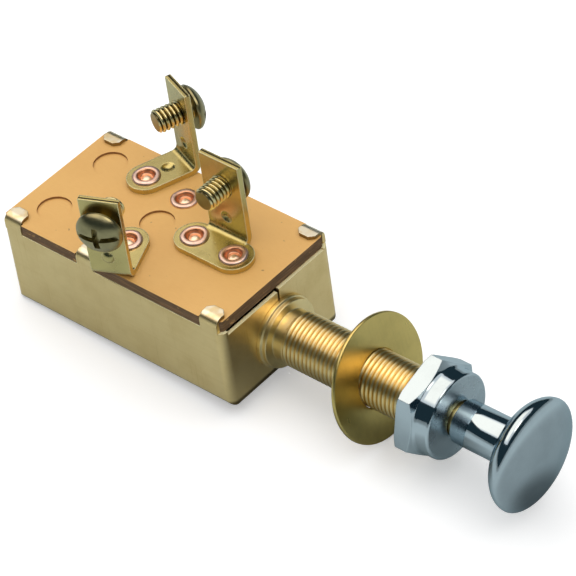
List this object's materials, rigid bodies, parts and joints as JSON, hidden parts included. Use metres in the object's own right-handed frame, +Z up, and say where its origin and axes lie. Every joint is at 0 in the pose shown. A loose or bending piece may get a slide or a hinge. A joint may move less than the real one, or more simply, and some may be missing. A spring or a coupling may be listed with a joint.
{
  "type": "push-pull switch",
  "caption": "Push-pull switch: folded brass case under a fibre terminal board with screw terminals, threaded panel stem, washer, face nut and mushroom knob on a sliding shaft.",
  "frame": {"origin": "on the stem's axis, in the plane of the case's front face", "axes": "+X along the stem towards the knob, +Z up out of the terminal board, +Y completes the right-handed frame"},
  "size_m": [0.1176, 0.0419, 0.0438],
  "materials": {
    "case_brass": "satin rolled brass sheet",
    "board": "tan fibre board with dark cut edges",
    "stem_brass": "bright turned brass",
    "washer_brass": "satin brass",
    "chrome": "polished plating",
    "terminal_brass": "yellow passivated",
    "screw_brass": "dull plated brass",
    "copper": "bright copper",
    "slide_moulding": "dark moulded insulation",
    "spring_steel": "drawn wire"
  },
  "bodies": {
    "housing": {"case": "case_brass", "terminal_board": "board", "stem_bushing": "stem_brass", "panel_washer": "washer_brass", "right_terminal": "terminal_brass", "left_terminal": "terminal_brass", "front_terminal": "terminal_brass", "contact_rivet_1": "copper", "contact_rivet_2": "copper", "contact_rivet_3": "copper", "contact_rivet_4": "copper", "contact_rivet_5": "copper", "contact_rivet_6": "copper"},
    "plunger": {"plunger_shaft": "stem_brass", "pull_knob": "chrome", "slide_block": "slide_moulding", "contact_bridge": "copper", "bridge_spring": "spring_steel"},
    "nut": {"face_nut": "chrome"},
    "right_screw": {"right_terminal_screw": "screw_brass"},
    "left_screw": {"left_terminal_screw": "screw_brass"},
    "front_screw": {"front_terminal_screw": "screw_brass"}
  },
  "joints": [
    {"name": "plunger_pull", "type": "slide", "parent": "housing", "child": "plunger", "axis": [1, 0, 0], "range_m": [0, 0.0195]},
    {"name": "nut_turn", "type": "hinge", "parent": "housing", "child": "nut", "pos_m": [0.0379, 0, 0], "axis": [1, 0, 0], "continuous": true},
    {"name": "right_screw_turn", "type": "hinge", "parent": "housing", "child": "right_screw", "pos_m": [-0.03583, 0.0173, 0.0252], "axis": [0.342, 0.9397, 0], "continuous": true},
    {"name": "left_screw_turn", "type": "hinge", "parent": "housing", "child": "left_screw", "pos_m": [-0.02583, -0.01655, 0.0252], "axis": [0.3907, -0.9205, 0], "continuous": true},
    {"name": "front_screw_turn", "type": "hinge", "parent": "housing", "child": "front_screw", "pos_m": [-0.01487, 0.0055, 0.0252], "axis": [0, 1, 0], "continuous": true}
  ]
}
